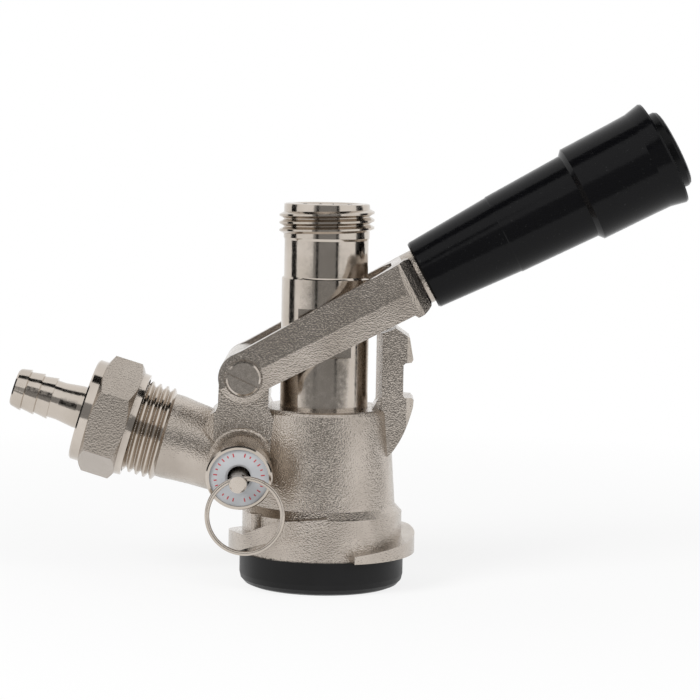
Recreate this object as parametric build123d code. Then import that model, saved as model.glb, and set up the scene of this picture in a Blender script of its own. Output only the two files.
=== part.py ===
from build123d import *
from math import cos, degrees, atan, radians, sin, sqrt
import os

os.makedirs("parts", exist_ok=True)

# Keg coupler, in millimetres. Z runs up the probe from the bottom of the keg seal,
# X points at the latch, and the relief valve faces -Y.

# Fits
running_gap = 0.05        # radial gap of a shaft that turns or slides in its bore
swing_gap = 0.35          # side gap between pieces that swing past one another

# Beer probe
thread_r = 11.455         # 29/32-14 beer outlet thread
probe_top_z = 92.2
probe_neck_r = 10.12
probe_thread_low_z = 83.7
probe_step_z = 74.7
probe_tube_r = 10.62
probe_bore_r = 7.5
probe_low_z = 2.5
flat_mid_z = 61.5
boss_r = 5.45             # round bosses on the lever that drive the probe
flat_half_height = boss_r + swing_gap
flat_floor_y = 8.5
tip_core_r = 8.6
tip_seal_r = 10.3
tip_seal_low_z = 3.3
tip_seal_high_z = 9.0
ball_r = 5.2
ball_seat_r = 4.2
ball_seat_z = 13.0
retainer_z = 24.0
retainer_thick = 1.5

# Body
body_low_z = 8.0
collar_r = 19.33
collar_top_z = 18.47
cone_low_r = 17.6
cone_low_z = 19.8
body_top_r = 16.0
body_top_z = 43.15
chamber_r = 13.0
chamber_top_z = 33.0
guide_bore_r = probe_tube_r + running_gap
o_ring_wire_r = 1.2
o_ring_levels = (35.6, 39.8)
seal_r = 19.86
seal_hole_r = 12.2
seal_neck_r = 15.2
seal_neck_top_z = 12.0

# Bayonet lugs, as angles round the probe axis and heights
lug_r = 22.6
lug_start = 111
lug_lift = 200
lug_shoulder = 215
lug_crest = 243
lug_end = 274
lug_low_z = 8.15
lug_thin_top_z = 10.0
lug_flat_top_z = 13.5
lug_crest_z = 17.9
lug_end_low_z = 17.0
lug_end_top_z = 19.0
stop_rib_r = 1.5
stop_rib_angle = 217

# Hinge and lever; u runs along the lever, w across it, from the pivot
pivot_x = -18.86
pivot_z = 51.18
rest_angle = 28.2
knuckle_r = 6.0
knuckle_half = 10.95
pin_r = 3.0
pin_head_r = 4.1
pin_head_y = 16.9
eye_r = 6.0
eye_sink_r = 4.6
eye_sink_y = 15.0
arm_in_y = knuckle_half + swing_gap
arm_out_y = 16.0
arm_edge_y = 14.7
arm_low_w = -5.0
arm_high_w = 5.9
head_u = 43.3
head_end_u = 47.6
head_low_w = -6.2
head_high_w = 7.33
boss_u = -pivot_x / cos(radians(rest_angle))
boss_in_y = flat_floor_y + 0.35
slot_end_u = 43.0
slot_corner_r = 6.5

# Grip and latch plunger, on an axis beside the lever's centre line
grip_w = 1.25
neck_r = 6.85
grip_bore_r = neck_r + 0.08
nose_r = 3.0
nose_tip_u = 40.8
plunger_collar_r = 4.8
plunger_collar_long = 1.8
rod_r = 2.0
rod_end_u = 108.6
neck_bore_r = plunger_collar_r + 0.1
neck_bore_u = 51.2
nose_end_u = neck_bore_u + 2.2
plunger_collar_end_u = nose_end_u + plunger_collar_long
bush_start_u = plunger_collar_end_u + 8.0
neck_end_u = bush_start_u + 2.8
grip_start_u = 48.6
grip_end_u = 113.4
grip_hub_u = neck_end_u + 3.0
grip_pocket_u = 104.0
grip_pocket_r = 6.5
cap_r = 9.75
cap_end_u = 116.2

# Latch bracket
bracket_half = 6.3
bracket_back_x = 13.9
bracket_ridge_x = 12.5
tooth_tip_x = 21.45
tooth_low_z = 54.6
notch_x = 19.0
ledge_z = 46.15
ledge_tip_x = 21.6

# Gas inlet, with s measured along its axis from the probe axis
inlet_z = 23.95
inlet_rise = degrees(atan(0.302))
inlet_core_r = 10.3
inlet_thread_s = 38.5
inlet_end_s = 54.3
inlet_socket_r = 8.0
inlet_socket_s = 42.0
inlet_bore_r = 4.2
nut_start_s = 47.45
nut_end_s = 60.52
nut_collar_r = 12.6
nut_across_flats = 25.5
nut_turn = -2
nut_lip = 2.4
barb_neck_r = 5.2
barb_flange_r = 10.1
washer_thick = 1.1
barb_flange_thick = 2.4
barb_root_r = 4.6
barb_teeth = (68.5, 71.9, 75.2)
barb_tooth_r = 5.15
barb_tip_r = 4.6
barb_bore_r = 3.1
barb_tip_s = 78.1

# Relief valve, with t measured along its axis from the inlet's centre line
relief_x = -19.25
relief_z = 32.7
relief_dip = 10
relief_boss_r = 7.9
relief_boss_t = 10.6
housing_thread_r = 5.9
housing_neck_r = 7.0
housing_flange_r = 7.85
housing_flange_t = 20.0
housing_end_t = 24.0
housing_bore_r = 4.8
housing_low_t = 5.0
relief_seat_t = 8.2
relief_orifice_r = 2.4
relief_seal_r = 3.7
disc_r = 7.0
disc_t = 22.2
disc_thick = 1.3
disc_hole_r = 2.75
stem_r = 2.05
stem_end_t = 29.4
ring_hole_t = 27.0
ring_hole_up = 0.75
ring_hole_r = 0.98
ring_mean_r = 8.8
ring_wire_r = 0.56
ring_tilt = 10.6


lever_place = Pos(pivot_x, 0, pivot_z) * Rot(0, -rest_angle, 0)
grip_place = lever_place * Pos(0, 0, grip_w) * Rot(0, 90, 0)
inlet_place = Pos(0, 0, inlet_z) * Rot(0, inlet_rise - 90, 0)
relief_place = Pos(relief_x, 0, relief_z) * Rot(90 + relief_dip, 0, 0)


def turned(*outline):
    # A solid of revolution about Z from (radius, height) corners
    half = make_face(Plane.XZ * Polyline(*outline, close=True))
    return revolve(half, Axis.Z)


def rod(radius, low, high):
    return Pos(0, 0, low) * Cylinder(radius, high - low, align=(Align.CENTER, Align.CENTER, Align.MIN))


def tube(outer, inner, low, high):
    return rod(outer, low, high) - rod(inner, low - 1, high + 1)


def slab_y(corners, half):
    # A plate drawn in X and Z and thickened both ways along Y
    return extrude(make_face(Plane.XZ * Polyline(*corners, close=True)), half, both=True)


def slab_z(corners, half):
    return extrude(make_face(Polyline(*corners, close=True)), half, both=True)


def coil(radius, wire_r, low, high, turns):
    path = Helix(pitch=(high - low) / turns, height=high - low, radius=radius)
    start = Plane(origin=path @ 0, z_dir=path % 0)
    return Pos(0, 0, low) * sweep(start * Circle(wire_r), path=path, is_frenet=True)


def o_ring(radius, wire_r, level):
    return Pos(0, 0, level) * Torus(radius, wire_r)


# ---- body casting ----

def climb(angle, first, second):
    # Height part way up a straight ramp between two (angle, height) ends
    share = (angle - first[0]) / (second[0] - first[0])
    return first[1] + share * (second[1] - first[1])


def lug_low(angle):
    if angle <= lug_lift:
        return lug_low_z
    return climb(angle, (lug_lift, lug_low_z), (lug_end, lug_end_low_z))


def lug_high(angle):
    if angle <= lug_lift:
        return climb(angle, (lug_start, lug_thin_top_z), (lug_lift, lug_flat_top_z))
    if angle <= lug_shoulder:
        return lug_flat_top_z
    if angle <= lug_crest:
        return climb(angle, (lug_shoulder, lug_flat_top_z), (lug_crest, lug_crest_z))
    return climb(angle, (lug_crest, lug_crest_z), (lug_end, lug_end_top_z))


def lug_section(angle):
    a = radians(angle)
    wall = Plane(origin=(0, 0, 0), x_dir=(cos(a), sin(a), 0), z_dir=(sin(a), -cos(a), 0))
    inner = collar_r - 3
    outer = lug_r + 2
    low = lug_low(angle)
    high = lug_high(angle)
    return wall * make_face(Polyline((inner, low), (outer, low), (outer, high), (inner, high), close=True))


def lug_span(first, last, steps):
    stops = [first + (last - first) * i / steps for i in range(steps + 1)]
    return loft([lug_section(a) for a in stops], ruled=True)


def bayonet_lug():
    lug = lug_span(lug_start, lug_lift, 12)
    lug += lug_span(lug_lift, lug_shoulder, 2)
    lug += lug_span(lug_shoulder, lug_crest, 4)
    lug += lug_span(lug_crest, lug_end, 4)
    return lug & tube(lug_r, collar_r - 1, 0, 30)


def stop_rib():
    a = radians(stop_rib_angle)
    return Pos(collar_r * cos(a), collar_r * sin(a), 0) * rod(stop_rib_r, lug_flat_top_z - 1, collar_top_z)


def body_barrel():
    barrel = turned(
        (0, body_low_z), (collar_r, body_low_z), (collar_r, collar_top_z - 0.5),
        (collar_r - 0.5, collar_top_z), (cone_low_r, cone_low_z),
        (body_top_r, body_top_z - 1), (body_top_r - 0.3, body_top_z - 0.3), (body_top_r - 1, body_top_z),
        (0, body_top_z))
    lug = bayonet_lug() + stop_rib()
    return barrel + lug + Rot(0, 0, 180) * lug


def hinge_knuckle():
    post = slab_y([
        (pivot_x - knuckle_r, pivot_z), (pivot_x - knuckle_r - 0.2, 44.0), (pivot_x - knuckle_r - 0.8, 42.6),
        (pivot_x - knuckle_r - 2.2, 41.6), (-28.6, 38.0), (-20.0, 30.0), (-8.0, 34.0), (-11.6, 40.6),
        (-12.4, 42.4), (pivot_x + knuckle_r - 0.3, 44.0), (pivot_x + knuckle_r, pivot_z),
    ], knuckle_half)
    lobe = Pos(pivot_x, 0, pivot_z) * Rot(90, 0, 0) * Cylinder(knuckle_r, 2 * knuckle_half)
    keep = slab_z([
        (-30, -7.5), (-26, -knuckle_half), (-5, -knuckle_half), (-5, knuckle_half),
        (-26, knuckle_half), (-30, 7.5),
    ], 90)
    return (post & keep) + lobe


def latch_bracket():
    side = slab_y([
        (14.16, 61.7), (16.06, 62.4), (17.0, 62.9), (20.4, 60.6), (tooth_tip_x - 0.1, tooth_low_z + 0.7),
        (tooth_tip_x - 0.5, tooth_low_z), (notch_x + 0.5, tooth_low_z - 0.1), (notch_x, tooth_low_z - 0.6),
        (notch_x, ledge_z + 0.5), (notch_x + 0.5, ledge_z), (ledge_tip_x - 0.6, ledge_z),
        (ledge_tip_x, ledge_z - 0.6), (21.5, 44.0), (21.0, 42.1), (20.3, 40.0), (19.4, 37.7), (18.3, 35.5),
        (16.9, 33.3), (14.6, 30.8), (11.5, 28.6), (11.5, 61.0),
    ], bracket_half + 2)
    plan = slab_z([
        (bracket_ridge_x, 0), (bracket_back_x, bracket_half), (tooth_tip_x - 1.6, bracket_half),
        (tooth_tip_x + 0.5, bracket_half - 1.4), (tooth_tip_x + 0.5, 1.4 - bracket_half),
        (tooth_tip_x - 1.6, -bracket_half), (bracket_back_x, -bracket_half),
    ], 90)
    foot = slab_y([
        (10.0, body_top_z - 6), (11.2, body_top_z - 0.5), (12.0, body_top_z + 0.6), (13.0, body_top_z + 2.6),
        (15.0, body_top_z + 3.4), (15.0, body_top_z - 6),
    ], bracket_half - 0.4)
    return (side & plan) + foot


def inlet_arm():
    arm = turned(
        (0, 4), (9.3, 4), (9.5, 24), (9.7, 31), (10.0, 35), (inlet_core_r, inlet_thread_s - 0.6),
        (inlet_core_r, inlet_end_s - 0.6),
        (inlet_core_r - 0.6, inlet_end_s), (0, inlet_end_s))
    return inlet_place * arm


def relief_boss():
    boss = turned(
        (0, 0), (8.5, 0), (8.5, 6.2), (relief_boss_r, 7.0), (relief_boss_r, relief_boss_t - 0.4),
        (relief_boss_r - 0.4, relief_boss_t), (0, relief_boss_t))
    return relief_place * boss


def body_hollow():
    hollow = rod(guide_bore_r, 20, 60) + rod(chamber_r, body_low_z - 1, chamber_top_z)
    hollow += rod(seal_neck_r, body_low_z - 1, seal_neck_top_z)
    for level in o_ring_levels:
        hollow += tube(guide_bore_r + 2 * o_ring_wire_r, 1, level - 1.35, level + 1.35)
    hollow += inlet_place * rod(inlet_bore_r, 10, 60)
    hollow += inlet_place * rod(inlet_socket_r, inlet_socket_s, 60)
    hollow += relief_place * rod(relief_orifice_r + 0.4, 0, 30)
    hollow += relief_place * rod(housing_thread_r, housing_low_t, 30)
    hollow += relief_place * rod(housing_neck_r + 0.1, relief_boss_t + 0.01, 40)
    return hollow


def body():
    metal = body_barrel() + hinge_knuckle() + latch_bracket() + inlet_arm() + relief_boss()
    metal -= Pos(pivot_x, 0, pivot_z) * Rot(90, 0, 0) * Cylinder(pin_r + running_gap, 60)
    return metal - body_hollow()


def bottom_seal():
    foot_r = seal_r - 2.4
    return turned(
        (seal_hole_r, 1.2), (seal_hole_r + 1.2, 0), (foot_r, 0), (seal_r - 1.2, 0.5), (seal_r - 0.3, 1.5),
        (seal_r, 2.8), (seal_r, body_low_z), (seal_neck_r, body_low_z), (seal_neck_r, seal_neck_top_z),
        (seal_neck_r - 1.6, seal_neck_top_z), (seal_hole_r, body_low_z + 1))


def body_o_rings():
    ring_r = probe_tube_r + 0.02 + o_ring_wire_r
    return [o_ring(ring_r, o_ring_wire_r - 0.02, level) for level in o_ring_levels]


# ---- beer probe ----

def probe_tube():
    metal = turned(
        (ball_seat_r, probe_low_z), (tip_core_r + 0.6, probe_low_z), (tip_core_r + 0.6, tip_seal_low_z - 0.05),
        (tip_core_r, tip_seal_low_z - 0.05), (tip_core_r, tip_seal_high_z), (probe_tube_r - 0.8, tip_seal_high_z),
        (probe_tube_r, tip_seal_high_z + 1.2), (probe_tube_r, probe_step_z - 0.5),
        (probe_neck_r, probe_step_z), (probe_neck_r, probe_thread_low_z - 0.3), (thread_r, probe_thread_low_z + 0.9),
        (thread_r, probe_top_z - 1.2), (10.26, probe_top_z), (probe_bore_r + 0.6, probe_top_z),
        (probe_bore_r, probe_top_z - 0.6), (probe_bore_r, ball_seat_z + 2.4), (ball_seat_r + 0.4, ball_seat_z),
        (ball_seat_r, ball_seat_z - 0.4))
    notch = Pos(0, flat_floor_y + 10, flat_mid_z) * Box(40, 20, 2 * flat_half_height)
    metal = metal - notch - mirror(notch, Plane.XZ)
    return metal - tube(probe_bore_r + 0.5, 1, retainer_z, retainer_z + retainer_thick)


def probe_tip_seal():
    return turned(
        (tip_core_r, tip_seal_low_z), (tip_seal_r - 0.8, tip_seal_low_z), (tip_seal_r, tip_seal_low_z + 1.0),
        (tip_seal_r, tip_seal_high_z - 2.4), (tip_core_r + 0.9, tip_seal_high_z - 0.05),
        (tip_core_r, tip_seal_high_z - 0.05))


def ball_rest_z():
    edge_r = ball_seat_r + 0.4
    return ball_seat_z + sqrt(ball_r ** 2 - edge_r ** 2) + 0.25


def outlet_check_ball():
    return Pos(0, 0, ball_rest_z()) * Sphere(ball_r)


def check_ball_retainer():
    ring = tube(probe_bore_r + 0.45, probe_bore_r - 1.6, retainer_z + 0.05, retainer_z + retainer_thick - 0.05)
    bars = Box(2 * probe_bore_r - 2, 1.3, retainer_thick - 0.1) + Box(1.3, 2 * probe_bore_r - 2, retainer_thick - 0.1)
    return ring + Pos(0, 0, retainer_z + retainer_thick / 2) * bars


# ---- lever ----

def lever_blank():
    side = slab_y([
        (0, -eye_r), (4.5, arm_low_w + 0.15), (head_u - 0.6, arm_low_w - 0.3), (head_u, head_low_w),
        (head_u + 1.6, head_low_w), (head_end_u - 1.4, head_low_w + 0.4), (head_end_u - 0.4, head_low_w + 0.9),
        (head_end_u, head_low_w + 1.6), (head_end_u, head_high_w - 0.9), (head_end_u - 0.4, head_high_w - 0.3),
        (head_end_u - 1.4, head_high_w), (head_u - 0.6, head_high_w - 0.2), (2.6, arm_high_w), (0, eye_r),
    ], arm_out_y + 1)
    side += Rot(90, 0, 0) * Cylinder(eye_r, 2 * arm_out_y + 2)
    plan = slab_z([
        (-10, arm_out_y + 1), (head_u - 1.0, arm_out_y + 1), (head_u + 0.4, arm_out_y - 0.4),
        (head_u + 1.7, arm_out_y - 1.5), (head_end_u - 1.3, arm_out_y - 3.4), (head_end_u - 0.4, arm_out_y - 5.0),
        (head_end_u, arm_out_y - 7.0), (head_end_u, 7.0 - arm_out_y), (head_end_u - 0.4, 5.0 - arm_out_y),
        (head_end_u - 1.3, 3.4 - arm_out_y), (head_u + 1.7, 1.5 - arm_out_y), (head_u + 0.4, 0.4 - arm_out_y),
        (head_u - 1.0, -arm_out_y - 1), (-10, -arm_out_y - 1),
    ], 20)
    ridge = [(arm_out_y, 0.1), (arm_edge_y, 9), (-arm_edge_y, 9), (-arm_out_y, 0.1), (-arm_edge_y, -9), (arm_edge_y, -9)]
    across = extrude(make_face(Plane.YZ * Polyline(*ridge, close=True)), 80, both=True)
    return side & plan & across


def lever_slot():
    inner = slot_end_u - slot_corner_r
    flat = arm_in_y - slot_corner_r
    slot = slab_z([(-20, arm_in_y), (inner, arm_in_y), (inner, -arm_in_y), (-20, -arm_in_y)], 20)
    slot += slab_z([(-20, flat), (slot_end_u, flat), (slot_end_u, -flat), (-20, -flat)], 20)
    corner = Pos(inner, flat, -20) * rod(slot_corner_r, 0, 40)
    return slot + corner + mirror(corner, Plane.XZ)


def drive_boss():
    depth = arm_in_y - boss_in_y + 0.5
    boss = Pos(boss_u, boss_in_y + depth / 2, 0) * Rot(90, 0, 0) * Cylinder(boss_r, depth)
    return boss


def lever_fork():
    axis = Pos(0, 0, grip_w) * Rot(0, 90, 0)
    fork = lever_blank() - lever_slot()
    boss = drive_boss()
    fork += boss + mirror(boss, Plane.XZ)
    fork += axis * rod(neck_r, head_end_u - 2, neck_end_u)
    fork -= axis * rod(nose_r + running_gap, 30, neck_end_u)
    fork -= axis * rod(neck_bore_r, neck_bore_u, neck_end_u + 1)
    fork -= Rot(90, 0, 0) * Cylinder(pin_r, 60)
    sink = Pos(0, eye_sink_y + 5, 0) * Rot(90, 0, 0) * Cylinder(eye_sink_r, 10)
    fork = fork - sink - mirror(sink, Plane.XZ)
    return lever_place * fork


def hinge_pin():
    groove_y = eye_sink_y + 0.4
    pin = Rot(90, 0, 0) * turned(
        (0, -groove_y - 1.4), (pin_r - 0.4, -groove_y - 1.4), (pin_r, -groove_y - 1.0), (pin_r, -groove_y - 0.7),
        (pin_r - 0.6, -groove_y - 0.7), (pin_r - 0.6, -groove_y), (pin_r, -groove_y), (pin_r, eye_sink_y),
        (pin_head_r, eye_sink_y), (pin_head_r, pin_head_y - 0.4), (pin_head_r - 0.4, pin_head_y), (0, pin_head_y))
    pin -= Rot(0, 53.2, 0) * Pos(0, -pin_head_y, 0) * Box(10, 2.0, 1.15)
    return lever_place * pin


def hinge_pin_clip():
    groove_y = eye_sink_y + 0.4
    clip = tube(pin_head_r, pin_r - 0.6, 0.03, 0.67)
    clip -= Pos(0, 6, 0) * Box(3.4, 12, 4)
    return lever_place * Pos(0, groove_y + 0.7, 0) * Rot(90, 0, 0) * clip


# ---- grip and latch plunger ----

def handle_grip():
    shell = turned(
        (grip_bore_r, grip_start_u + 0.8), (grip_bore_r + 0.9, grip_start_u + 0.8), (grip_bore_r + 1.1, grip_start_u),
        (8.3, grip_start_u), (8.64, grip_start_u + 0.5), (9.87, 70.1), (10.03, 70.4), (10.71, 90.4), (11.95, 91.5),
        (12.15, 104.0), (12.3, 109.0), (13.1, grip_end_u - 0.6), (12.9, grip_end_u - 0.1), (12.5, grip_end_u),
        (cap_r + 0.2, grip_end_u), (cap_r + 0.2, grip_end_u - 0.6), (grip_pocket_r, grip_end_u - 0.6),
        (grip_pocket_r, grip_pocket_u), (rod_r + 0.05, grip_pocket_u), (rod_r + 0.05, grip_hub_u),
        (grip_bore_r, grip_hub_u))
    return grip_place * shell


def grip_end_cap():
    return grip_place * turned(
        (0, grip_end_u - 3), (grip_pocket_r, grip_end_u - 3), (grip_pocket_r, grip_end_u - 0.6),
        (cap_r, grip_end_u - 0.6), (cap_r, cap_end_u - 1.0), (cap_r - 0.4, cap_end_u - 0.3),
        (cap_r - 1.1, cap_end_u), (0, cap_end_u))


def latch_plunger():
    return grip_place * turned(
        (0, nose_tip_u), (nose_r - 0.9, nose_tip_u), (nose_r, nose_tip_u + 0.9), (nose_r, nose_end_u),
        (plunger_collar_r, nose_end_u), (plunger_collar_r, plunger_collar_end_u), (rod_r, plunger_collar_end_u),
        (rod_r, rod_end_u - 0.3), (rod_r - 0.3, rod_end_u), (0, rod_end_u))


def latch_spring():
    return grip_place * coil(3.6, 0.45, plunger_collar_end_u + 0.5, bush_start_u - 0.5, 5)


def plunger_bush():
    return grip_place * tube(neck_bore_r, rod_r + 0.06, bush_start_u, neck_end_u)


def plunger_washer():
    return grip_place * tube(5.2, rod_r + 0.02, grip_pocket_u, grip_pocket_u + 0.9)


def plunger_nut():
    nut = extrude(RegularPolygon(4.4, 6), 3.2) - rod(rod_r, -1, 5)
    return grip_place * Pos(0, 0, grip_pocket_u + 0.9) * nut


# ---- gas inlet ----

def inlet_nut():
    flat_start = nut_start_s + 2.4
    flat_end = nut_end_s - 3.2
    corner_r = nut_across_flats / sqrt(3)
    hexagon = Pos(0, 0, nut_start_s) * Rot(0, 0, nut_turn) * extrude(
        RegularPolygon(corner_r, 6), nut_end_s - nut_start_s)
    trim = turned(
        (0, nut_start_s), (nut_collar_r, nut_start_s), (nut_collar_r + 0.1, flat_start - 0.8),
        (corner_r, flat_start + 0.4), (corner_r, flat_end - 0.4), (nut_collar_r - 0.1, flat_end + 0.8),
        (nut_collar_r - 0.1, nut_end_s - 0.4), (nut_collar_r - 0.5, nut_end_s), (0, nut_end_s))
    collars = rod(nut_collar_r, nut_start_s, flat_start) + rod(nut_collar_r - 0.1, flat_end, nut_end_s - 0.4)
    nut = (hexagon & trim) + (collars & trim)
    nut -= rod(inlet_core_r + 0.06, nut_start_s - 1, nut_end_s - nut_lip)
    nut -= rod(thread_r + 0.15, nut_start_s - 1, nut_start_s + 3.2)
    nut -= rod(barb_neck_r + running_gap, nut_start_s, nut_end_s + 1)
    return inlet_place * nut


def hose_barb():
    flange_low = inlet_end_s + washer_thick
    flange_high = flange_low + barb_flange_thick
    outline = [
        (barb_bore_r, flange_low), (barb_flange_r, flange_low), (barb_flange_r, flange_high),
        (barb_neck_r, flange_high), (barb_neck_r, nut_end_s + 1.6), (barb_root_r, barb_teeth[0] - 2.0),
    ]
    for tooth in barb_teeth:
        outline += [(barb_root_r, tooth), (barb_tooth_r, tooth + 0.06)]
    outline += [(barb_tip_r, barb_tip_s - 0.4), (barb_tip_r - 0.4, barb_tip_s), (barb_bore_r, barb_tip_s)]
    return inlet_place * turned(*outline)


def tailpiece_washer():
    return inlet_place * tube(9.6, 4.6, inlet_end_s + 0.02, inlet_end_s + washer_thick)


def gas_check_valve():
    high = inlet_end_s - 0.6
    flange = tube(inlet_socket_r, 3.6, high - 1.6, high)
    cup = Pos(0, 0, high - 1.6) * loft([Circle(5.2), Pos(0, 0, -8) * Rectangle(9.0, 1.8)])
    core = Pos(0, 0, high - 1.6) * loft([Circle(3.6), Pos(0, 0, -7) * Rectangle(6.4, 0.5)])
    return inlet_place * (flange + cup - core)


# ---- relief valve ----

def relief_valve_housing():
    shell = turned(
        (relief_orifice_r, housing_low_t), (housing_thread_r, housing_low_t), (housing_thread_r, relief_boss_t),
        (housing_neck_r, relief_boss_t + 0.02), (housing_neck_r, housing_flange_t - 0.3),
        (housing_flange_r - 0.2, housing_flange_t), (housing_flange_r, housing_flange_t + 0.3),
        (housing_flange_r, housing_end_t - 0.4), (housing_flange_r - 0.3, housing_end_t), (disc_r, housing_end_t),
        (disc_r, disc_t), (housing_bore_r, disc_t), (housing_bore_r, relief_seat_t), (relief_orifice_r, relief_seat_t))
    return relief_place * shell


def relief_valve_disc():
    face = disc_t + disc_thick
    return relief_place * turned(
        (disc_hole_r, disc_t), (disc_r, disc_t), (disc_r, face), (disc_hole_r + 0.5, face),
        (disc_hole_r, face - 0.3))


def relief_valve_stem():
    head = relief_seat_t + 1.15
    stem = turned(
        (0, head), (relief_seal_r + 0.5, head), (relief_seal_r + 0.5, head + 1.2), (stem_r, head + 1.2),
        (stem_r, stem_end_t - 0.5), (stem_r - 0.5, stem_end_t), (0, stem_end_t))
    stem -= Pos(0, ring_hole_up, ring_hole_t) * Rot(0, 0, ring_tilt) * Rot(0, 90, 0) * Cylinder(ring_hole_r, 12)
    return relief_place * stem


def relief_poppet_seal():
    return relief_place * rod(relief_seal_r, relief_seat_t + 0.05, relief_seat_t + 1.15)


def relief_valve_spring():
    return relief_place * coil(3.4, 0.4, relief_seat_t + 3.0, disc_t - 0.6, 6)


def ring_hole_centre():
    return relief_place * Pos(0, ring_hole_up, ring_hole_t)


def pull_ring():
    tilt = radians(ring_tilt)
    hole = ring_hole_centre().position
    centre = Pos(hole.X + ring_mean_r * sin(tilt), hole.Y, hole.Z + 0.12 - ring_mean_r * cos(tilt))
    return centre * Rot(90, 0, 0) * Torus(ring_mean_r, ring_wire_r)


def save(name, shape):
    solids = shape if isinstance(shape, list) else shape.solids()
    one = Compound(children=list(solids)) if len(solids) > 1 else solids[0]
    export_step(one, f"parts/{name}.step")
    print(name, len(solids), "solid", round(sum(s.volume for s in solids), 1))


pieces = {
    "body": body, "bottom_seal": bottom_seal, "body_o_rings": body_o_rings, "probe_tube": probe_tube,
    "probe_tip_seal": probe_tip_seal, "outlet_check_ball": outlet_check_ball,
    "check_ball_retainer": check_ball_retainer, "lever_fork": lever_fork, "hinge_pin": hinge_pin,
    "hinge_pin_clip": hinge_pin_clip, "handle_grip": handle_grip, "grip_end_cap": grip_end_cap,
    "latch_plunger": latch_plunger, "latch_spring": latch_spring, "plunger_bush": plunger_bush,
    "plunger_washer": plunger_washer, "plunger_nut": plunger_nut, "inlet_nut": inlet_nut,
    "hose_barb": hose_barb, "tailpiece_washer": tailpiece_washer, "gas_check_valve": gas_check_valve,
    "relief_valve_housing": relief_valve_housing, "relief_valve_disc": relief_valve_disc,
    "relief_valve_stem": relief_valve_stem, "relief_poppet_seal": relief_poppet_seal,
    "relief_valve_spring": relief_valve_spring, "pull_ring": pull_ring,
}

for name, make in pieces.items():
    save(name, make())
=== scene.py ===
import bpy
import bmesh
from math import atan, atan2, cos, pi, radians, sin, sqrt
from mathutils import Matrix, Vector


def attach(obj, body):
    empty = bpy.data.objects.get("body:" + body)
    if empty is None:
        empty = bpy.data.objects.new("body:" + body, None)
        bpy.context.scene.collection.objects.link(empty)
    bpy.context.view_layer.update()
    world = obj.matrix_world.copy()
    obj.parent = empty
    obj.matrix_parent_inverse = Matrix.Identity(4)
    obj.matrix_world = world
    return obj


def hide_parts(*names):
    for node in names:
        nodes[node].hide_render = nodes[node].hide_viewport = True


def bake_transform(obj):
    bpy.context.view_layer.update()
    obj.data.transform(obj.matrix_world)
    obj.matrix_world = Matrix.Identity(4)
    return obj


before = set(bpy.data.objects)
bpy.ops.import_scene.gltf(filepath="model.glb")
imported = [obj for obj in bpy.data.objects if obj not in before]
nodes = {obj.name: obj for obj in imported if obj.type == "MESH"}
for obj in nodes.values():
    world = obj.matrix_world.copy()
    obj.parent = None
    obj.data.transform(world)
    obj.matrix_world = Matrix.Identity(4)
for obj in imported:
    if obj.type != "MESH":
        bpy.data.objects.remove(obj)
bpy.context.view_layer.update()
mm = 0.001
sharpAngle = 13  # degrees; flatter edges than this shade smooth

# where the angled parts sit, in millimetres as in the CAD
inletSlope = atan(0.302)
inletAxis = Vector((-cos(inletSlope), 0, sin(inletSlope)))
inletStart = Vector((0, 0, 23.95))
reliefDip = radians(10)
reliefAxis = Vector((0, -cos(reliefDip), -sin(reliefDip)))
reliefStart = Vector((-19.25, 0, 32.7))
gripAxis = Vector((0.879, 0, 0.477)).normalized()


def frameAlong(start, axis, up):
    # matrix that puts local Z on the axis and local Y near up
    z = axis.normalized()
    x = up.cross(z).normalized()
    y = z.cross(x)
    m = Matrix((x, y, z)).transposed().to_4x4()
    m.translation = start
    return m


upright = Matrix.Identity(4)
inletFrame = frameAlong(inletStart, inletAxis, Vector((0, 1, 0)))
reliefFrame = frameAlong(reliefStart, reliefAxis, Vector((0, 0, 1)))


def newPiece(name, bm, place, body, mat):
    # millimetres and local frame in, a finished mesh at the origin out
    bmesh.ops.remove_doubles(bm, verts=bm.verts, dist=0.0005)
    bmesh.ops.transform(bm, matrix=Matrix.Scale(mm, 4) @ place, verts=bm.verts)
    bmesh.ops.recalc_face_normals(bm, faces=bm.faces)
    mesh = bpy.data.meshes.new(name)
    bm.to_mesh(mesh)
    bm.free()
    piece = bpy.data.objects.new(name, mesh)
    bpy.context.scene.collection.objects.link(piece)
    for face in mesh.polygons:
        face.use_smooth = True
    mesh.set_sharp_from_angle(angle=radians(sharpAngle))
    mesh.materials.append(mat)
    if body:  # a piece that blends between two bodies rides neither
        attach(piece, body)
    print("piece", name, len(mesh.polygons), "faces")
    return piece


def nodeCopy(name):
    # a CAD node's mesh in millimetres, ready to be merged and changed
    bm = bmesh.new()
    bm.from_mesh(nodes[name].data)
    bmesh.ops.transform(bm, matrix=Matrix.Scale(1 / mm, 4), verts=bm.verts)
    return bm


class Val:
    # one output socket with ordinary arithmetic on it
    def __init__(self, net, socket):
        self.net = net
        self.socket = socket

    def __add__(self, other):
        return self.net.math("ADD", self, other)

    def __radd__(self, other):
        return self.net.math("ADD", other, self)

    def __mul__(self, other):
        return self.net.math("MULTIPLY", self, other)

    def __rmul__(self, other):
        return self.net.math("MULTIPLY", other, self)


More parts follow.
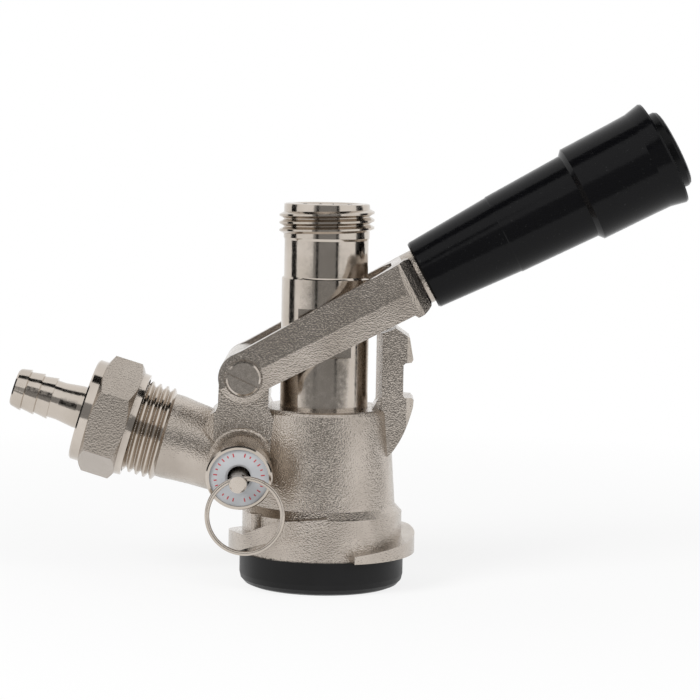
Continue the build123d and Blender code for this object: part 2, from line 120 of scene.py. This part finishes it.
class Net:
    # one node tree, built from the outputs of its own nodes
    def __init__(self, tree):
        self.tree = tree
        tree.nodes.clear()

    def add(self, kind, settings=None, sockets=None, out=0):
        node = self.tree.nodes.new(kind)
        for key, value in (settings or {}).items():
            setattr(node, key, value)
        for key, value in (sockets or {}).items():
            if isinstance(value, Val):
                self.tree.links.new(value.socket, node.inputs[key])
            elif value is not None:
                node.inputs[key].default_value = value
        return Val(self, node.outputs[out]) if node.outputs else None

    def math(self, kind, first, second):
        return self.add("ShaderNodeMath", {"operation": kind}, {0: first, 1: second})

    def vector(self, kind, first, second=None, out=0):
        return self.add("ShaderNodeVectorMath", {"operation": kind}, {0: first, 1: second}, out)

    def mixColour(self, factor, first, second):
        ends = [end if isinstance(end, Val) else (*end, 1) for end in (first, second)]
        return self.add("ShaderNodeMix", {"data_type": "RGBA"}, {0: factor, 6: ends[0], 7: ends[1]}, 2)

    def place(self):
        return self.add("ShaderNodeTexCoord", out="Object")

    def stretched(self, size):
        return self.add("ShaderNodeMapping", sockets={"Vector": self.place(), "Scale": size})

    def radiusAbout(self, start, axis):
        # distance from a line, both in metres and object space
        away = self.vector("SUBTRACT", self.place(), tuple(start))
        along = self.vector("DOT_PRODUCT", away, tuple(axis), 1)
        foot = self.add("ShaderNodeVectorMath", {"operation": "SCALE"}, {0: tuple(axis), "Scale": along})
        return self.vector("LENGTH", self.vector("SUBTRACT", away, foot), out=1)

    def noise(self, scale, detail=3.0, rough=0.5, where=None):
        return self.add("ShaderNodeTexNoise", sockets={
            "Vector": where or self.place(), "Scale": scale, "Detail": detail, "Roughness": rough})

    def ramp(self, value, low, high, bottom=0.0, top=1.0):
        return self.add("ShaderNodeMapRange", sockets={0: value, 1: low, 2: high, 3: bottom, 4: top})

    def bump(self, height, strength, distance, under=None):
        return self.add("ShaderNodeBump", sockets={
            "Height": height, "Strength": strength, "Distance": distance, "Normal": under})

    def finish(self, **sockets):
        sockets = {key.replace("_", " "): value for key, value in sockets.items()}
        self.surface(self.add("ShaderNodeBsdfPrincipled", sockets=sockets))

    def surface(self, shader):
        self.add("ShaderNodeOutputMaterial", sockets={"Surface": shader})


def newMat(name):
    mat = bpy.data.materials.new(name)
    mat.use_nodes = True
    return mat, Net(mat.node_tree)


castLook = {"bright": (0.54, 0.485, 0.43), "dull": (0.45, 0.40, 0.35), "rough": 0.13,
            "grain": 2900, "depth": 0.00015}
leverLook = dict(castLook, dull=(0.44, 0.39, 0.34), rough=0.17, depth=0.00011)


def castMetal(name, look):
    # plated casting with a fine pebbled skin
    mat, net = newMat(name)
    cloud = net.noise(120, 4)
    grain = net.noise(look["grain"], 1.2, 0.45)
    coarse = net.noise(look["grain"] * 0.4, 1)
    colour = net.mixColour(net.ramp(cloud, 0.35, 0.68), look["bright"], look["dull"])
    rough = net.ramp(cloud, 0.3, 0.7, look["rough"] - 0.05, look["rough"] + 0.08)
    normal = net.bump(grain + coarse * 0.12, 1.0, look["depth"])
    net.finish(Base_Color=colour, Metallic=1.0, Roughness=rough, Normal=normal)
    return mat


polishLook = {"bright": (0.60, 0.54, 0.48), "dull": (0.50, 0.445, 0.385), "rough": 0.12}
turnedLook = dict(polishLook, rough=0.2)
drawnLook = dict(polishLook, bright=(0.5, 0.5, 0.5), rough=0.25)
brassLook = {"bright": (0.7, 0.52, 0.25), "dull": (0.6, 0.42, 0.18), "rough": 0.22}


def polishedMetal(name, look):
    mat, net = newMat(name)
    cloud = net.noise(90, 4)
    marks = net.noise(900, 2)
    colour = net.mixColour(net.ramp(cloud, 0.35, 0.7), look["bright"], look["dull"])
    rough = net.ramp(marks, 0.3, 0.7, look["rough"] - 0.03, look["rough"] + 0.07)
    normal = net.bump(marks, 0.12, 0.00003, net.bump(cloud, 0.25, 0.0003))
    net.finish(Base_Color=colour, Metallic=1.0, Roughness=rough, Normal=normal)
    return mat


nutLook = {"collar": (0.62, 0.56, 0.50), "flat": (0.47, 0.42, 0.37), "stain": (0.42, 0.37, 0.32),
           "flatFrom": 0.01262, "flatTo": 0.01275, "collarRough": 0.11, "flatRough": 0.12,
           "grain": 2500, "depth": 0.00013}


def nutMetal(name, look):
    # cast flats between turned and polished collars
    mat, net = newMat(name)
    flats = net.ramp(net.radiusAbout(inletStart * mm, inletAxis), look["flatFrom"], look["flatTo"])
    cloud = net.noise(110, 4)
    grain = net.noise(look["grain"], 2)
    clean = net.mixColour(flats, look["collar"], look["flat"])
    colour = net.mixColour(net.ramp(cloud, 0.35, 0.7, 0, 0.6), clean, look["stain"])
    rough = flats * look["flatRough"] + look["collarRough"]
    normal = net.bump(grain * flats, 0.9, look["depth"])
    net.finish(Base_Color=colour, Metallic=1.0, Roughness=rough, Normal=normal)
    return mat


gripLook = {"black": (0.0025, 0.0025, 0.003), "dust": (0.12, 0.12, 0.12), "rough": 0.13}
capLook = dict(gripLook, rough=0.24)


def gripPlastic(name, look):
    # glossy black moulding with faint scratches and dust
    mat, net = newMat(name)
    cloud = net.noise(140, 5)
    scratch = net.noise(420, 3, 0.6, net.stretched((1, 1, 9)))
    dust = net.ramp(net.noise(1500, 2), 0.66, 0.78, 0, 0.08)
    colour = net.mixColour(dust, look["black"], look["dust"])
    rough = net.ramp(scratch, 0.45, 0.75, look["rough"], look["rough"] + 0.16)
    normal = net.bump(scratch, 0.08, 0.00008, net.bump(cloud, 0.15, 0.0004))
    net.finish(Base_Color=colour, Roughness=rough, Normal=normal, Specular_IOR_Level=0.15)
    return mat


blackRubber = (0.004, 0.004, 0.0042)
greyRubber = (0.05, 0.05, 0.05)


def rubber(name, tone=blackRubber):
    mat, net = newMat(name)
    cloud = net.noise(160, 4)
    worn = tuple(t * 1.8 + 0.002 for t in tone)
    colour = net.mixColour(net.ramp(cloud, 0.4, 0.75, 0, 0.5), tone, worn)
    rough = net.ramp(cloud, 0.3, 0.7, 0.34, 0.48)
    normal = net.bump(net.noise(2600, 2), 0.25, 0.00005)
    net.finish(Base_Color=colour, Roughness=rough, Normal=normal, Specular_IOR_Level=0.25)
    return mat


def plainPlastic(name, tone):
    mat, net = newMat(name)
    cloud = net.noise(200, 4)
    colour = net.mixColour(net.ramp(cloud, 0.35, 0.7), tone, tuple(t * 0.9 for t in tone))
    rough = net.ramp(cloud, 0.3, 0.7, 0.4, 0.53)
    net.finish(Base_Color=colour, Roughness=rough, Normal=net.bump(net.noise(1800, 2), 0.2, 0.00005))
    return mat


polished = polishedMetal("polishedNickel", polishLook)
turnedSteel = polishedMetal("turnedSteel", turnedLook)
drawnSteel = polishedMetal("drawnSteel", drawnLook)
markRed = plainPlastic("markRed", (0.45, 0.04, 0.05))

finishes = {
    "body": castMetal("castNickel", castLook),
    "lever_fork": castMetal("leverNickel", leverLook),
    "bottom_seal": rubber("sealRubber"),
    "body_o_rings": rubber("oRingRubber"),
    "probe_tube": polished,
    "probe_tip_seal": rubber("tipRubber"),
    "outlet_check_ball": plainPlastic("ballPlastic", (0.72, 0.71, 0.67)),
    "check_ball_retainer": plainPlastic("retainerPlastic", (0.7, 0.7, 0.68)),
    "hinge_pin": turnedSteel,
    "hinge_pin_clip": drawnSteel,
    "handle_grip": gripPlastic("gripPlastic", gripLook),
    "grip_end_cap": gripPlastic("capPlastic", capLook),
    "latch_plunger": turnedSteel,
    "latch_spring": drawnSteel,
    "plunger_bush": polishedMetal("brass", brassLook),
    "plunger_washer": turnedSteel,
    "plunger_nut": turnedSteel,
    "inlet_nut": nutMetal("nutNickel", nutLook),
    "hose_barb": polished,
    "tailpiece_washer": rubber("washerRubber", greyRubber),
    "gas_check_valve": rubber("duckbillRubber"),
    "relief_valve_housing": polished,
    "relief_valve_disc": plainPlastic("discPlastic", (0.44, 0.45, 0.465)),
    "relief_valve_stem": turnedSteel,
    "relief_poppet_seal": rubber("poppetRubber"),
    "relief_valve_spring": drawnSteel,
    "pull_ring": turnedSteel,
}
for name, mat in finishes.items():
    nodes[name].data.materials.clear()
    nodes[name].data.materials.append(mat)
print("materials", len(finishes))


def threadRidge(thread, segments=96):
    # one tooth profile wound up the core, fading at both ends
    bm = bmesh.new()
    root, crest, pitch = thread["root"], thread["crest"], thread["pitch"]
    half = pitch / 2 - 0.08  # leaves a narrow gap between turns
    tip = thread["crestFlat"] / 2
    sunk = root - 0.4  # foot of the tooth, inside the core
    low = thread["low"] + half
    turns = (thread["high"] - thread["low"] - 2 * half) / pitch
    tooth = [(sunk, -half), (root, -half), (crest, -tip), (crest, tip), (root, half), (sunk, half)]
    corners = [bm.verts.new((r, 0, low + z)) for r, z in tooth]
    outline = bm.faces.new(corners)
    steps = int(turns * segments)
    bmesh.ops.spin(bm, geom=[outline] + list(outline.edges) + corners, angle=turns * 2 * pi,
                   steps=steps, axis=(0, 0, 1), cent=(0, 0, 0), dvec=(0, 0, turns * pitch / steps))
    for v in bm.verts:
        r = sqrt(v.co.x ** 2 + v.co.y ** 2)
        if r > root + 0.1:
            around = atan2(v.co.y, v.co.x) / (2 * pi)
            turn = round((v.co.z - low) / pitch - around) + around
            fade = min(1, max(0, min(turn, turns - turn) / 0.3))
            want = root - 0.2 + (r - root + 0.2) * fade
            v.co.x *= want / r
            v.co.y *= want / r
    return bm


def spun(outline, segments=128):
    # closed outline of radius and height, turned once round Z
    bm = bmesh.new()
    verts = [bm.verts.new((r, 0, z)) for r, z in outline]
    edges = [bm.edges.new((a, b)) for a, b in zip(verts, verts[1:] + verts[:1])]
    bmesh.ops.spin(bm, geom=verts + edges, angle=2 * pi, steps=segments, axis=(0, 0, 1),
                   cent=(0, 0, 0), use_merge=True)
    return bm


def barrelNormals(mesh):
    # long thin CAD triangles shade as a true cylinder
    normals = [list(corner.vector) for corner in mesh.corner_normals]
    for face in mesh.polygons:
        side = Vector((face.center.x, face.center.y, 0))
        if side.length < 0.006 or face.normal.dot(side.normalized()) < 0.99:
            continue  # the bore, a flat or an end face
        spots = [mesh.vertices[v].co for v in face.vertices]
        ends = [Vector((spot.x, spot.y, 0)) for spot in spots]
        if max(e.length for e in ends) - min(e.length for e in ends) > 0.00002:
            continue  # a taper or the edge of a flat
        for corner, end in zip(face.loop_indices, ends):
            normals[corner] = list(end.normalized())
    mesh.normals_split_custom_set(normals)


outletThread = {"crest": 11.455, "root": 10.35, "pitch": 1.814, "low": 83.9, "high": 91.9,
                "crestFlat": 0.45}
outletEnd = {"cut": 82, "low": 81.9, "barrel": 10.12, "neckLow": 83.4, "neckHigh": 83.8,
             "rootLow": 84.0, "rootHigh": 91.4, "lead": 10.26, "leadHigh": 92.0, "rim": 9.9,
             "top": 92.2, "mouth": 8.2, "lip": 7.6, "lipHigh": 91.9, "bore": 7.5, "boreHigh": 91.6}


def probeWithThread(end, thread):
    # the CAD probe cut under its thread, with a new threaded end on it
    bm = nodeCopy("probe_tube")
    bmesh.ops.remove_doubles(bm, verts=bm.verts, dist=0.001)
    bmesh.ops.bisect_plane(bm, geom=list(bm.verts) + list(bm.edges) + list(bm.faces),
                           plane_co=(0, 0, end["cut"]), plane_no=(0, 0, 1), clear_outer=True)
    lower = newPiece("probeLower", bm, upright, "probe", polished)
    barrelNormals(lower.data)
    root = thread["root"]
    bm = spun([
        (end["barrel"], end["low"]), (end["barrel"], end["neckLow"]), (root - 0.1, end["neckHigh"]),
        (root, end["rootLow"]), (root, end["rootHigh"]), (end["lead"], end["leadHigh"]),
        (end["rim"], end["top"]), (end["mouth"], end["top"]), (end["lip"], end["lipHigh"]),
        (end["bore"], end["boreHigh"]), (end["bore"], end["low"])])
    core = newPiece("probeEnd", bm, upright, "probe", polished)
    ridge = newPiece("outletThread", threadRidge(thread), upright, "probe", polished)
    for piece in (lower, core):
        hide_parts("probe_tube")


probeWithThread(outletEnd, outletThread)

inletThread = {"crest": 11.4, "root": 10.3, "pitch": 1.814, "low": 38.4, "high": 50.3, "crestFlat": 0.4}
inletRidge = newPiece("inletThread", threadRidge(inletThread), inletFrame, "body", polished)

springs = {
    "latch_spring": {"axis": gripAxis, "fixed": "lever", "moving": "grip"},
    "relief_valve_spring": {"axis": reliefAxis, "fixed": "body", "moving": "relief_stem"},
}


def closingCoil(name, spring):
    # a fixed copy of the spring in drawn steel, riding no body, in place of the CAD spring
    coil = newPiece(name + "Coil", nodeCopy(name), upright, None, drawnSteel)
    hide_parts(name)
    axis = spring["axis"]
    spots = [v.co.dot(axis) for v in coil.data.vertices]
    middle = sum((v.co for v in coil.data.vertices), Vector()) / len(spots)
    base = middle - axis * middle.dot(axis)
    tuple(base + axis * max(spots))
    tuple(base + axis * min(spots))
    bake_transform(coil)


for name, spring in springs.items():
    closingCoil(name, spring)

# plain ticks round the relief disc, with the top and bottom ones left out
ticks = {"radius": 5.6, "long": 0.75, "wide": 0.28, "high": 0.06, "face": 23.5, "places": 26,
         "empty": (0, 13)}


def discMarks(ticks):
    bm = bmesh.new()
    for i in range(ticks["places"]):
        if i in ticks["empty"]:
            continue
        turn = Matrix.Rotation(2 * pi * i / ticks["places"], 4, "Z")
        long = ticks["long"] * (1.0 + 0.25 * sin(i * 2.3))  # uneven, as hand stamping is
        size = Matrix.Diagonal((ticks["wide"], long, ticks["high"], 1))
        spot = turn @ Matrix.Translation((0, ticks["radius"], ticks["face"])) @ size
        bmesh.ops.create_cube(bm, size=1, matrix=spot)
    return bm


marks = newPiece("discMarks", discMarks(ticks), reliefFrame, "body", markRed)

# millimetres, degrees, and a lens for a 36 mm sensor
cameraPlace = {"spot": (6.106, -593.66, 112.13), "pitch": 5.316, "roll": 1.048, "lens": 126.9}


def makeCamera(place):
    data = bpy.data.cameras.new("camera")
    data.sensor_width = 36
    data.lens = place["lens"]
    data.clip_start = 0.01
    camera = bpy.data.objects.new("camera", data)
    bpy.context.scene.collection.objects.link(camera)
    pitch = radians(place["pitch"])
    roll = radians(place["roll"])
    ahead = Vector((0, cos(pitch), -sin(pitch)))
    up = Vector((0, sin(pitch), cos(pitch)))
    side = Vector((1, 0, 0))
    x = side * cos(roll) + up * sin(roll)
    y = up * cos(roll) - side * sin(roll)
    m = Matrix((x, y, -ahead)).transposed().to_4x4()
    m.translation = Vector(place["spot"]) * mm
    camera.matrix_world = m
    bpy.context.scene.camera = camera
    print("camera", place["lens"], "mm")


makeCamera(cameraPlace)


def cardMat(name, kind, tone, **sockets):
    mat, net = newMat(name)
    net.surface(net.add(kind, sockets={"Color": (tone, tone, tone, 1), **sockets}))
    return mat


def panel(name, centre, size, facing, mat, seen=False):
    # a flat sheet of the studio; only the floor is seen directly
    bm = bmesh.new()
    bmesh.ops.create_grid(bm, x_segments=1, y_segments=1, size=0.5)
    up = (0, 0, 1) if abs(facing[2]) < 0.9 else (0, 1, 0)
    place = frameAlong(Vector(centre) * mm, Vector(facing), Vector(up))
    stretch = Matrix.Diagonal((size[0] * mm, size[1] * mm, 1, 1))
    bmesh.ops.transform(bm, matrix=place @ stretch, verts=bm.verts)
    mesh = bpy.data.meshes.new(name)
    bm.to_mesh(mesh)
    bm.free()
    mesh.materials.append(mat)
    card = bpy.data.objects.new(name, mesh)
    bpy.context.scene.collection.objects.link(card)
    card.visible_camera = seen


# white away from the object, and matt near it so that its shadow stays
floorLook = {"size": 6000, "matt": 0.8, "shadowFrom": 0.06, "shadowTo": 0.3, "nearWhite": 0.82}


def makeFloor(look):
    mat, net = newMat("floorPale")
    seen = net.math("MAXIMUM", net.add("ShaderNodeLightPath", out="Is Camera Ray"),
                    net.add("ShaderNodeLightPath", out="Is Glossy Ray"))
    away = net.vector("LENGTH", net.place(), out=1)
    far = net.ramp(away, look["shadowFrom"], look["shadowTo"], look["nearWhite"], 1.0)
    matt = net.add("ShaderNodeBsdfDiffuse", sockets={"Color": (look["matt"],) * 3 + (1,)})
    glow = net.add("ShaderNodeEmission", sockets={"Color": (1, 1, 1, 1), "Strength": 1.0})
    net.surface(net.add("ShaderNodeMixShader", sockets={0: seen * far, 1: matt, 2: glow}))
    panel("floor", (0, 0, 0), (look["size"], look["size"]), (0, 0, 1), mat, seen=True)


def makeWorld(level=0.5):
    # lights the object at the level, and shows white to the eye, metal and glass
    world = bpy.data.worlds.new("world")
    bpy.context.scene.world = world
    world.use_nodes = True
    net = Net(world.node_tree)
    seen = net.add("ShaderNodeLightPath", out="Is Camera Ray")
    shiny = net.add("ShaderNodeLightPath", out="Is Glossy Ray")
    clear = net.add("ShaderNodeLightPath", out="Is Transmission Ray")
    sight = net.math("MAXIMUM", seen, net.math("MAXIMUM", shiny, clear))
    strength = level + sight * (1 - level)
    shade = net.add("ShaderNodeBackground", sockets={"Color": (1, 1, 1, 1), "Strength": strength})
    net.add("ShaderNodeOutputWorld", sockets={"Surface": shade})


def softLight(name, spot, power, aim=(0, 0, 50), size=300):
    data = bpy.data.lights.new(name, "AREA")
    data.shape = "RECTANGLE"
    data.size = size * mm
    data.size_y = size * mm
    data.energy = power
    light = bpy.data.objects.new(name, data)
    bpy.context.scene.collection.objects.link(light)
    light.visible_glossy = False
    start = Vector(spot) * mm
    light.matrix_world = frameAlong(start, start - Vector(aim) * mm, Vector((0, 0, 1)))


makeFloor(floorLook)
makeWorld()
dark = cardMat("cardDark", "ShaderNodeBsdfDiffuse", 0.02)
front = cardMat("cardFront", "ShaderNodeEmission", 1.0, Strength=0.27)

# centre, width and height in millimetres, way it faces, finish
cards = {
    "cardFront": ((-40, -950, 150), (1250, 560), (0, 1, 0), front),
    "cardTop": ((-80, -70, 520), (900, 190), (0, 0, -1), dark),
    "cardFloor": ((-40, -560, 1), (1250, 700), (0, 0, 1), front),
    "cardLeft": ((-230, -520, 150), (70, 700), (0.5, 0.8, 0), dark),
    "cardRight": ((240, -420, 150), (60, 700), (-0.6, 0.7, 0), dark),
    "cardBackLeft": ((-420, 60, 150), (160, 700), (1, 0, 0), dark),
    "cardBackRight": ((420, 60, 150), (160, 700), (-1, 0, 0), dark),
}
for name, card in cards.items():
    panel(name, *card)
lamps = {"keyLight": ((-400, -420, 380), 4), "fillLight": ((480, -350, 330), 2)}
for name, lamp in lamps.items():
    softLight(name, *lamp)
print("studio", len(cards), "cards", len(lamps), "lamps")

view = bpy.context.scene.view_settings
view.view_transform = "Standard"
